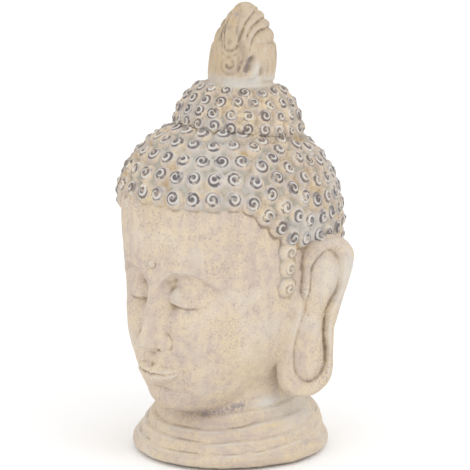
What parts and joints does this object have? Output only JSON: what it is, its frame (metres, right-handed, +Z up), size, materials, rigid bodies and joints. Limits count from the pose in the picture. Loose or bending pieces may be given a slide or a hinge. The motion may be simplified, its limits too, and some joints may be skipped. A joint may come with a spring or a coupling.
{
  "type": "buddha head",
  "caption": "Cast garden head with rows of snail curls, a bun with a flame finial, long ears and a flared, ringed neck cut flat below to stand on.",
  "frame": {"origin": "middle of the flat underside of the neck, on the neck's own axis", "axes": "+Z up along the neck's axis, the face looks towards -Y, +X towards the figure's left ear"},
  "size_m": [0.304, 0.3002, 0.5399],
  "materials": {
    "cast_stone": "matt cream cast stone with a thin whitewash, ochre tints and a grey-mauve wash wiped into the hollows"
  },
  "bodies": {
    "root": {"buddha_head": "cast_stone"}
  },
  "joints": []
}
